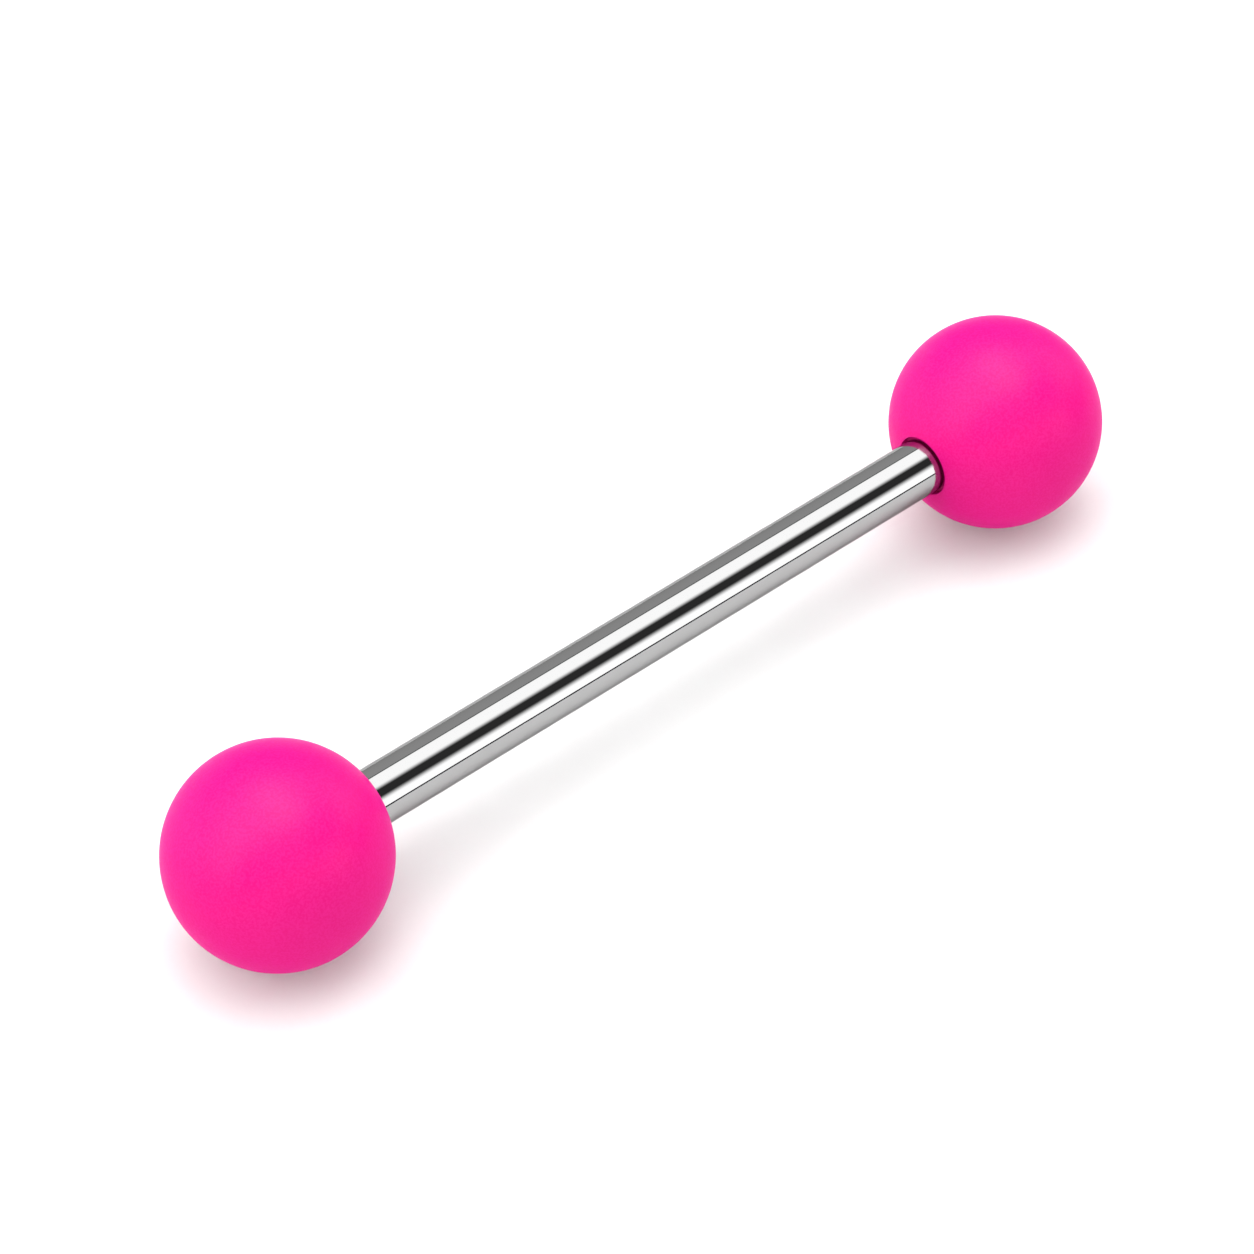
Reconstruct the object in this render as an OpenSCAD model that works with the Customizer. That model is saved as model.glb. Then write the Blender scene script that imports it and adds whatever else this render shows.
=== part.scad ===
// Straight tongue barbell: a polished bar with a ball screwed onto each end, lying on a surface.
// +X runs along the bar, +Z is up. The origin is on the surface, under the middle of the bar.

/* [Bar] */
// Length of bar that shows between the balls
wear_length = 20; // [12:0.5:30]
// Diameter of the bar
bar_d = 1.6; // [1.4:0.1:2]
// Radius that rounds the shoulder at each end of the bar
shoulder_round = 0.15; // [0.05:0.01:0.35]

/* [Thread] */
// Diameter over the crests of the thread
thread_d = 1.2; // [1:0.05:1.35]
// Distance from one crest to the next
thread_pitch = 0.25; // [0.2:0.05:0.35]
// Length of the threaded stub, from the shoulder to its tip
stub_length = 2.2; // [1.4:0.1:2.6]
// Length of the plain neck between the shoulder and the first crest
neck_length = 0.15; // [0.1:0.05:0.4]
// Size of the chamfer on the stub's tip
tip_chamfer = 0.12; // [0.05:0.01:0.2]

/* [Balls] */
// Diameter of each ball
ball_d = 6; // [5:0.5:8]
// Depth of the recess that takes the end of the bar, below its rim
recess_depth = 0.17; // [0.05:0.01:0.5]

/* [Fit] */
// Radial gap between the bar and the wall of the recess
recess_gap = 0.08; // [0.03:0.005:0.1]
// Radial gap between the thread's crests and the bore
bore_gap = 0.05; // [0.02:0.01:0.1]
// Gap between the bar's shoulder and the floor of the recess
seat_gap = 0.02; // [0.01:0.01:0.05]
// Room past the stub's tip, up to the drill point
tip_room = 0.3; // [0.1:0.05:0.5]

/* [Hidden] */

bar_r = bar_d / 2;
ball_r = ball_d / 2;

// A metric thread: 60 degree flanks, a crest an eighth of the pitch wide, and 0.613 of the pitch deep
flank_angle = 30;
crest_r = thread_d / 2;
crest_width = thread_pitch / 8;
thread_depth = 0.613 * thread_pitch;
root_r = crest_r - thread_depth;
flank_width = thread_depth * tan(flank_angle);
shoulder_radius = min(shoulder_round, bar_r - root_r - 0.02);
crest_count = floor((stub_length - neck_length - tip_chamfer) / thread_pitch);

// Distances along the bar from its middle
rim_x = wear_length / 2;
shoulder_x = rim_x + recess_depth - seat_gap;
tip_x = shoulder_x + stub_length;
thread_x = shoulder_x + neck_length;

// The ball's hole, measured from the centre of the ball
recess_r = bar_r + recess_gap;
bore_r = crest_r + bore_gap;
rim_height = sqrt(ball_r * ball_r - recess_r * recess_r);
seat_height = rim_height - recess_depth;
ball_x = rim_x + rim_height;
bore_end_height = ball_x - tip_x - tip_room;
drill_angle = 59;
drill_point = bore_r / tan(drill_angle);

round_steps = 8;
round_facets = 96;

// Outline of one end of the bar, as [radius, distance from the middle], from the shank to the tip
function shoulder_outline() = [
    for (step = [0 : round_steps])
        let (a = 90 * step / round_steps)
            [bar_r - shoulder_radius * (1 - cos(a)), shoulder_x - shoulder_radius * (1 - sin(a))]
];

function crest_outline(x) = [
    [root_r, x],
    [crest_r, x + flank_width],
    [crest_r, x + flank_width + crest_width],
    [root_r, x + 2 * flank_width + crest_width]
];

function end_outline() = concat(
    shoulder_outline(),
    [[root_r, shoulder_x]],
    [for (n = [0 : crest_count - 1]) each crest_outline(thread_x + n * thread_pitch)],
    [[root_r, tip_x - tip_chamfer], [root_r - tip_chamfer, tip_x], [0, tip_x]]
);

// Outline of the hole in a ball, as [radius, height above the ball's centre], from the drill point out
function hole_outline() = [
    [0, bore_end_height - drill_point],
    [bore_r, bore_end_height],
    [bore_r, seat_height],
    [recess_r, seat_height],
    [recess_r, ball_r],
    [0, ball_r]
];

function mirrored(outline) = [for (i = [len(outline) - 1 : -1 : 0]) [outline[i][0], -outline[i][1]]];

// The shank with its two rounded shoulders and threaded stubs, in one piece
module bar() {
    color("silver")
        translate([0, 0, ball_r])
            rotate([0, 90, 0])
                rotate_extrude($fn = round_facets)
                    polygon(concat(mirrored(end_outline()), end_outline()));
}

// The ball at the left end: round, with a recess for the end of the bar and a blind bore for the stub
module ball() {
    translate([-ball_x, 0, ball_r])
        rotate([0, 90, 0])
            difference() {
                sphere(r = ball_r, $fn = round_facets);
                rotate_extrude($fn = round_facets)
                    polygon(hole_outline());
            }
}

module left_ball() { color("deeppink") ball(); }
module right_ball() { color("deeppink") mirror([1, 0, 0]) ball(); }

bar();
left_ball();
right_ball();
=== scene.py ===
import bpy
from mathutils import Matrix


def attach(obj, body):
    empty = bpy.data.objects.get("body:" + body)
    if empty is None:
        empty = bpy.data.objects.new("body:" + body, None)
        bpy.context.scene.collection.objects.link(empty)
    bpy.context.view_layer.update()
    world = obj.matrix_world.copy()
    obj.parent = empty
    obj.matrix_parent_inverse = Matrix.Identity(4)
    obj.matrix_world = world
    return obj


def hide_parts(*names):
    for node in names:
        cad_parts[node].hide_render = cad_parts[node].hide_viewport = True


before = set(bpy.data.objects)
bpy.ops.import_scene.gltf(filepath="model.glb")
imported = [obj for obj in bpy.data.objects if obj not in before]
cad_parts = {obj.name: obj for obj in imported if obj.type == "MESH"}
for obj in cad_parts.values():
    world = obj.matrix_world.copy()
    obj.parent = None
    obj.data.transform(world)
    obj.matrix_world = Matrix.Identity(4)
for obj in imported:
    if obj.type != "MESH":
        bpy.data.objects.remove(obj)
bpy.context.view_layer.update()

import math

import bmesh
import bpy
from mathutils import Matrix, Vector

print("frame loaded:", ", ".join(sorted(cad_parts)))

mm = 0.001
fullTurn = 2 * math.pi


class Wire:  # one socket's output, so that maths on it reads as a formula
    def __init__(self, tree, socket):
        self.tree, self.socket = tree, socket

    def calc(self, operation, *others):
        inputs = dict(enumerate((self,) + others))
        return addNode(self.tree, "ShaderNodeMath", {"operation": operation}, inputs)

    def __add__(self, other): return self.calc("ADD", other)
    def __radd__(self, other): return self.calc("ADD", other)
    def __sub__(self, other): return self.calc("SUBTRACT", other)
    def __rsub__(self, other): return (self * -1).calc("ADD", other)
    def __mul__(self, other): return self.calc("MULTIPLY", other)

    def ramp(self, low, high):  # 0 below low, 1 above high, smooth between
        settings = {"interpolation_type": "SMOOTHSTEP"}
        inputs = {"Value": self, "From Min": low, "From Max": high}
        return addNode(self.tree, "ShaderNodeMapRange", settings, inputs)

    def window(self, low, high, softLow, softHigh):  # 1 between low and high, with soft borders
        return self.ramp(low - softLow, low + softLow) * (1 - self.ramp(high - softHigh, high + softHigh))


def feed(tree, node, values):  # a Wire is linked, and any other value is set on the socket
    for key, value in values.items():
        if isinstance(value, Wire):
            tree.links.new(value.socket, node.inputs[key])
        else:
            node.inputs[key].default_value = value


def addNode(tree, kind, settings=None, inputs=None, output=0):
    node = tree.nodes.new(kind)
    for name, value in (settings or {}).items():
        setattr(node, name, value)
    feed(tree, node, inputs or {})
    return Wire(tree, node.outputs[output])


def newMaterial(name):
    material = bpy.data.materials.new(name)
    material.use_nodes = True
    tree = material.node_tree
    return material, tree, tree.nodes["Principled BSDF"]


def addObject(name, data):
    made = bpy.data.objects.new(name, data)
    bpy.context.scene.collection.objects.link(made)
    return made


camera = {
    "lens": 132,
    "sensor": 36,
    "nearest": 1,  # in mm, as are the next two
    "aim": (-0.54, 0.51, 3.0),
    "distance": 123.1,
    "across": 41.65,  # degrees that the bar runs away from the picture's plane
    "down": 42.58,  # degrees that the camera looks down
}


def addCamera():
    across, down = math.radians(camera["across"]), math.radians(camera["down"])
    level = math.cos(down)
    forward = Vector((math.sin(across) * level, math.cos(across) * level, -math.sin(down)))
    data = bpy.data.cameras.new("camera")
    data.lens, data.sensor_width, data.clip_start = camera["lens"], camera["sensor"], camera["nearest"] * mm
    holder = addObject("camera", data)
    holder.location = (Vector(camera["aim"]) - forward * camera["distance"]) * mm
    holder.rotation_euler = forward.to_track_quat("-Z", "Y").to_euler()
    bpy.context.scene.camera = holder


addCamera()
print("camera placed")


# A card's place is given in degrees round the bar, from the front horizon (0) over the top (90) to
# the back horizon (180), and by how far it reaches along the bar, as the x of a direction (-1 to 1).
# softLow, softHigh and sides are half the widths of its soft borders.
studio = {
    "overhead": dict(low=73, high=121, softLow=9, softHigh=1.2,
                     left=-1.2, right=0.65, sides=0.04, light=2.56),
    "key": dict(low=71, high=121, softLow=4, softHigh=3,
                left=-0.1, right=0.32, sides=0.06, light=3.1),
    "keyFront": dict(low=70, high=83, softLow=4, softHigh=4,
                     left=-0.32, right=0.32, sides=0.06, light=2.1),
    "leftWall": dict(low=72, high=184, softLow=4, softHigh=0.3,
                     left=-1.2, right=-0.32, sides=0.1, light=0.8),
    "sideCard": dict(low=34, high=121, softLow=4, softHigh=4,
                     left=0.72, right=1.2, sides=0.05, light=2.5),
    "frontCard": dict(low=-1.2, high=31, softLow=0.6, softHigh=11,
                      left=0.32, right=0.68, sides=0.04, light=2.7),
    "lowLeft": dict(low=-1.2, high=33, softLow=0.6, softHigh=4,
                    left=-1.2, right=0.28, sides=0.04, light=1.55),
    "fillCard": dict(low=36, high=68, softLow=4, softHigh=4,
                     left=-0.7, right=0.3, sides=0.06, light=0.9),
    "backdrop": dict(low=124.6, high=184, softLow=1.2, softHigh=0.3,
                     left=0.32, right=1.2, sides=0.04, light=0.59),
    "backLeft": dict(low=124, high=148, softLow=2, softHigh=3,
                     left=-1.2, right=0.28, sides=0.05, light=1.5),
    "backLow": dict(low=161, high=184, softLow=3, softHigh=0.3,
                    left=-1.2, right=0.28, sides=0.05, light=1.5),
    "fill": 0.057,  # the light between the cards
    "seen": 1.0,  # what the camera sees beyond the floor
}


def buildStudio():
    world = bpy.data.worlds.new("studio")
    world.use_nodes = True
    bpy.context.scene.world = world
    tree = world.node_tree
    background = tree.nodes["Background"]
    direction = addNode(tree, "ShaderNodeTexCoord")
    x, y, z = (addNode(tree, "ShaderNodeSeparateXYZ", {}, {0: direction}, output=axis) for axis in range(3))
    # degrees from the front horizon, wrapped to run from -90 (straight down) to 270
    angle = (z.calc("ARCTAN2", y * -1) * (180 / math.pi) + 90).calc("FLOORED_MODULO", 360) - 90
    light = studio["fill"]
    for card in studio.values():
        if isinstance(card, dict):
            across = angle.window(card["low"], card["high"], card["softLow"], card["softHigh"])
            along = x.window(card["left"], card["right"], card["sides"], card["sides"])
            light = across * along * card["light"] + light
    seen = addNode(tree, "ShaderNodeLightPath")  # 1 on what the camera sees directly
    light = light + seen * (studio["seen"] - light)
    tree.links.new(light.socket, background.inputs["Strength"])
    background.inputs["Color"].default_value = (1, 1, 1, 1)
    bpy.context.scene.view_settings.view_transform = "Standard"


floorSheet = {
    "across": 130,
    "front": 29,  # from the bar's axis to the front edge
    "back": 65,
    "corner": 9,
    "cornerSteps": 12,
    "colour": 0.69,
    "roughness": 0.9,
    "softness": 4,  # how far light spreads inside it
}


def buildFloor():
    mesh = bmesh.new()
    bmesh.ops.create_grid(mesh, x_segments=1, y_segments=1, size=0.5)
    depth = floorSheet["front"] + floorSheet["back"]
    bmesh.ops.scale(mesh, vec=(floorSheet["across"], depth, 1), verts=mesh.verts)
    bmesh.ops.translate(mesh, vec=(0, depth / 2 - floorSheet["front"], 0), verts=mesh.verts)
    bmesh.ops.bevel(mesh, geom=mesh.verts[:], offset=floorSheet["corner"], offset_type="OFFSET",
                    segments=floorSheet["cornerSteps"], profile=0.5, affect="VERTICES", material=-1,
                    clamp_overlap=True)
    bmesh.ops.scale(mesh, vec=(mm, mm, mm), verts=mesh.verts)
    data = bpy.data.meshes.new("floor")
    mesh.to_mesh(data)
    mesh.free()
    floor = addObject("floor", data)
    material, tree, shader = newMaterial("paleFloor")
    grey = floorSheet["colour"]
    shader.subsurface_method = "BURLEY"
    feed(tree, shader, {
        "Base Color": (grey, grey, grey, 1),
        "Roughness": floorSheet["roughness"],
        "Specular IOR Level": 0.0,
        "Subsurface Weight": 1.0,
        "Subsurface Radius": (1, 1, 1),
        "Subsurface Scale": floorSheet["softness"] * mm,
    })
    data.materials.append(material)


buildStudio()
buildFloor()
print("studio lit")


steelFinish = {
    "grey": 0.36,
    "edge": 0.56,  # tint of the reflection at a grazing angle
    "roughness": 0.03,
    "unevenness": 0.015,
    "clouds": 700,  # noise scale of the unevenness
    "grooves": 0.02,
    "grooveScale": (60000, 900, 900),  # close together along the bar, and long round it
    "grooveDepth": 0.02,
}


def polishedSteel():
    material, tree, shader = newMaterial("polishedSteel")
    place = addNode(tree, "ShaderNodeTexCoord", output=3)
    groovePlace = {"Vector": place, "Scale": steelFinish["grooveScale"]}
    stretched = addNode(tree, "ShaderNodeMapping", {}, groovePlace)
    grooves = addNode(tree, "ShaderNodeTexNoise", {}, {"Vector": stretched, "Scale": 1, "Detail": 3})
    cloudPlace = {"Vector": place, "Scale": steelFinish["clouds"], "Detail": 4}
    cloud = addNode(tree, "ShaderNodeTexNoise", {}, cloudPlace)
    bump = addNode(tree, "ShaderNodeBump", {}, {
        "Height": grooves,
        "Strength": steelFinish["grooves"],
        "Distance": steelFinish["grooveDepth"] * mm,
    })
    grey, edge = steelFinish["grey"], steelFinish["edge"]
    feed(tree, shader, {
        "Base Color": (grey, grey, grey, 1),
        "Metallic": 1.0,
        "Specular Tint": (edge, edge, edge, 1),
        "Roughness": steelFinish["roughness"] + cloud * steelFinish["unevenness"],
        "Normal": bump,
    })
    return material


pinkFinish = {
    "colour": (0.595, 0.0, 0.152, 1),
    "deeper": (0.57, 0.0, 0.145, 1),
    "speck": (0.615, 0.007, 0.196, 1),  # the fine pigment grain
    "specks": 0.6,  # how strongly the grain shows in the colour
    "grainScale": 16000,
    "clouds": 0.5,  # how strongly the broad mottling shows
    "cloudScale": 900,
    "roughness": 0.4,
    "unevenness": 0.08,
    "gloss": 0.015,
    "highlight": 10.0,  # how much stronger the gloss is face on than at the edge
    "grain": 0.4,
    "grainDepth": 0.01,
    "sheen": 0.16,
    "sheenRoughness": 0.5,
    "sheenColour": (1.0, 0.03, 0.7, 1),
}


def softPink():
    material, tree, shader = newMaterial("softPink")
    place = addNode(tree, "ShaderNodeTexCoord", output=3)
    cloudPlace = {"Vector": place, "Scale": pinkFinish["cloudScale"], "Detail": 3}
    grainPlace = {"Vector": place, "Scale": pinkFinish["grainScale"], "Detail": 2}
    cloud = addNode(tree, "ShaderNodeTexNoise", {}, cloudPlace)
    grain = addNode(tree, "ShaderNodeTexNoise", {}, grainPlace)
    mottling = cloud.ramp(0.3, 0.75) * pinkFinish["clouds"]
    specks = grain.ramp(0.38, 0.62) * pinkFinish["specks"]
    colour = addNode(tree, "ShaderNodeMix", {"data_type": "RGBA"},
                     {0: mottling, 6: pinkFinish["colour"], 7: pinkFinish["deeper"]}, output=2)
    colour = addNode(tree, "ShaderNodeMix", {"data_type": "RGBA"},
                     {0: specks, 6: colour, 7: pinkFinish["speck"]}, output=2)
    bump = addNode(tree, "ShaderNodeBump", {}, {
        "Height": grain,
        "Strength": pinkFinish["grain"],
        "Distance": pinkFinish["grainDepth"] * mm,
    })
    highlight = pinkFinish["highlight"]
    feed(tree, shader, {
        "Base Color": colour,
        "Roughness": pinkFinish["roughness"] + (cloud - 0.5) * pinkFinish["unevenness"],
        "Specular IOR Level": pinkFinish["gloss"],
        "Specular Tint": (highlight, highlight, highlight, 1),
        "Sheen Weight": pinkFinish["sheen"],
        "Sheen Roughness": pinkFinish["sheenRoughness"],
        "Sheen Tint": pinkFinish["sheenColour"],
        "Normal": bump,
    })
    return material


steel, pink = polishedSteel(), softPink()
print("finishes made")


turnSteps = 128
joinWithin = 1e-4  # how close points are joined, in mm
shortest = 1e-5
smoothUnder = 32  # degrees between two faces that still look like one surface


def vertsOf(parts):
    return [part for part in parts if isinstance(part, bmesh.types.BMVert)]


def drawOutline(mesh, points):  # half of a lathe outline, as (along, radius) in mm from the bar's middle
    corners = [mesh.verts.new((x, 0, r)) for x, r in points]
    return corners, [mesh.edges.new(pair) for pair in zip(corners, corners[1:])]


def turn(mesh):  # spins what is drawn so far round the bar's axis
    bmesh.ops.spin(mesh, geom=mesh.verts[:] + mesh.edges[:], cent=(0, 0, 0), axis=(1, 0, 0),
                   dvec=(0, 0, 0), angle=fullTurn, steps=turnSteps, use_merge=True, use_duplicate=False)


def radiusOf(vert):
    return math.hypot(vert.co.y, vert.co.z)


def softenRing(mesh, x, r, size, segments):  # rounds the ring of edges that lies at x with radius r
    ring = [e for e in mesh.edges
            if all(abs(v.co.x - x) < 1e-4 and abs(radiusOf(v) - r) < 1e-3 for v in e.verts)]
    bmesh.ops.bevel(mesh, geom=ring, offset=size, offset_type="OFFSET", segments=segments, profile=0.5,
                    affect="EDGES", material=-1, clamp_overlap=True)


def cutThread(mesh, ridge, pitch, start, end, most):
    # winds the outline of one ridge from start to end, and holds it under the radius most(x)
    before = set(mesh.verts)
    corners, edges = drawOutline(mesh, [(start + (share - 1) * pitch, r) for share, r in ridge])
    bmesh.ops.spin(mesh, geom=corners + edges, cent=(0, 0, 0), axis=(1, 0, 0),
                   dvec=(pitch / turnSteps, 0, 0), angle=fullTurn, steps=turnSteps, use_merge=False,
                   use_duplicate=False)
    firstTurn = [v for v in mesh.verts if v not in before]
    firstTurn += [e for e in mesh.edges if e.verts[0] not in before]
    firstTurn += [f for f in mesh.faces if f.verts[0] not in before]
    for nextTurn in range(1, math.ceil((end - start) / pitch) + 1):
        copied = bmesh.ops.duplicate(mesh, geom=firstTurn)["geom"]
        bmesh.ops.translate(mesh, vec=(nextTurn * pitch, 0, 0), verts=vertsOf(copied))
    for vert in set(mesh.verts) - before:
        vert.co.x = min(max(vert.co.x, start), end)
        pull = min(1, most(vert.co.x) / radiusOf(vert))
        vert.co.y, vert.co.z = vert.co.y * pull, vert.co.z * pull


def closeUp(mesh):  # joins the turned stretches into one closed skin that faces outwards
    bmesh.ops.remove_doubles(mesh, verts=mesh.verts, dist=joinWithin)
    bmesh.ops.dissolve_degenerate(mesh, edges=mesh.edges, dist=shortest)
    bmesh.ops.holes_fill(mesh, edges=mesh.edges, sides=0)
    bmesh.ops.recalc_face_normals(mesh, faces=mesh.faces)


def finishPiece(mesh, name, material, body, node):  # the axis lies a ball's radius above the floor
    bmesh.ops.scale(mesh, vec=(mm, mm, mm), verts=mesh.verts)
    bmesh.ops.translate(mesh, vec=(0, 0, ball["radius"] * mm), verts=mesh.verts)
    data = bpy.data.meshes.new(name)
    mesh.to_mesh(data)
    loose = sum(not e.is_manifold for e in mesh.edges)
    print(name, "has", sum(len(f.verts) - 2 for f in mesh.faces), "triangles and", loose, "open edges")
    mesh.free()
    data.materials.append(material)
    data.shade_smooth()
    data.set_sharp_from_angle(angle=math.radians(smoothUnder))
    piece = addObject(name, data)
    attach(piece, body)
    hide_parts(node)


bar = {
    "radius": 0.8,
    "shoulder": 10.15,  # from the middle to the face that the ball comes up to
    "rounding": 0.15,
    "roundingSteps": 12,
    "support": 0.03,  # from the last plain ring of points to the rounding
    "tip": 12.35,
    "tipChamfer": 0.12,
    "neck": 0.15,  # plain stretch before the first ridge
    "neckSlope": 1.2,  # how steeply the ridges grow out of it
    "crest": 0.6,
    "root": 0.447,
    "pitch": 0.25,
    "flank": 0.354,  # share of the pitch that a flank takes
    "flat": 0.125,  # share of the pitch that the crest takes
}


def makeBar():
    mesh = bmesh.new()
    shoulder, tip, root = bar["shoulder"], bar["tip"], bar["root"]
    support = shoulder - bar["rounding"] - bar["support"]
    drawOutline(mesh, [(along, bar["radius"]) for along in (0, support, shoulder)] + [(shoulder, root)])
    turn(mesh)
    ridge = [(0, root), (bar["flank"], bar["crest"]), (bar["flank"] + bar["flat"], bar["crest"]),
             (2 * bar["flank"] + bar["flat"], root), (1, root)]

    def most(x):  # the ridges grow out of the neck and are chamfered at the tip
        grown = root + max(0, x - shoulder - bar["neck"]) * bar["neckSlope"]
        return min(grown, root - bar["tipChamfer"] + (tip - x))

    cutThread(mesh, ridge, bar["pitch"], shoulder, tip, most)
    other = bmesh.ops.duplicate(mesh, geom=mesh.verts[:] + mesh.edges[:] + mesh.faces[:])["geom"]
    bmesh.ops.rotate(mesh, cent=(0, 0, 0), matrix=Matrix.Rotation(math.pi, 3, "Z"), verts=vertsOf(other))
    closeUp(mesh)
    for face in (shoulder, -shoulder):
        softenRing(mesh, face, bar["radius"], bar["rounding"], bar["roundingSteps"])
    finishPiece(mesh, "polishedBar", steel, "bar", "bar")


ball = {
    "radius": 3.0,
    "outlineSteps": 84,
    "rim": 10.0,  # from the bar's middle to the mouth of the hole
    "recess": 0.88,  # radius of the recess that takes the bar's shoulder
    "seat": 10.17,  # where the recess steps down to the bore
    "rimRounding": 0.02,
    "rimSteps": 4,
    "bore": 0.65,
    "groove": 0.73,
    "grooveStart": 0.2,  # as shares of the pitch, where a groove starts, levels out, turns back and ends
    "grooveFloor": 0.5,
    "grooveTurn": 0.7,
    "grooveEnd": 1,
    "boreEnd": 12.65,
    "drillPoint": 13.04,
    "pitch": 0.25,
}


def makeBall(name, body, side):
    mesh = bmesh.new()
    centre = ball["rim"] + math.sqrt(ball["radius"] ** 2 - ball["recess"] ** 2)
    rim = mesh.verts.new((ball["rim"], 0, ball["recess"]))
    sweep = math.pi - math.asin(ball["recess"] / ball["radius"])
    bmesh.ops.spin(mesh, geom=[rim], cent=(centre, 0, 0), axis=(0, 1, 0), dvec=(0, 0, 0), angle=sweep,
                   steps=ball["outlineSteps"], use_merge=False, use_duplicate=False)
    bore, groove, seat = ball["bore"], ball["groove"], ball["seat"]
    drawOutline(mesh, [(ball["rim"], ball["recess"]), (seat, ball["recess"]), (seat, bore)])
    drawOutline(mesh, [(ball["boreEnd"], bore), (ball["drillPoint"], 0)])
    turn(mesh)
    ridge = [(0, bore), (ball["grooveStart"], bore), (ball["grooveFloor"], groove),
             (ball["grooveTurn"], groove), (ball["grooveEnd"], bore)]

    def most(x):  # the grooves run out at both ends of the bore
        return bore + min(x - seat, ball["boreEnd"] - x)

    cutThread(mesh, ridge, ball["pitch"], seat, ball["boreEnd"], most)
    closeUp(mesh)
    softenRing(mesh, ball["rim"], ball["recess"], ball["rimRounding"], ball["rimSteps"])
    if side < 0:  # the left ball is the same ball turned end for end
        bmesh.ops.rotate(mesh, cent=(0, 0, 0), matrix=Matrix.Rotation(math.pi, 3, "Z"), verts=mesh.verts)
    finishPiece(mesh, name, pink, body, body)


makeBar()
makeBall("pinkBallLeft", "left_ball", -1)
makeBall("pinkBallRight", "right_ball", 1)
print("pieces made")
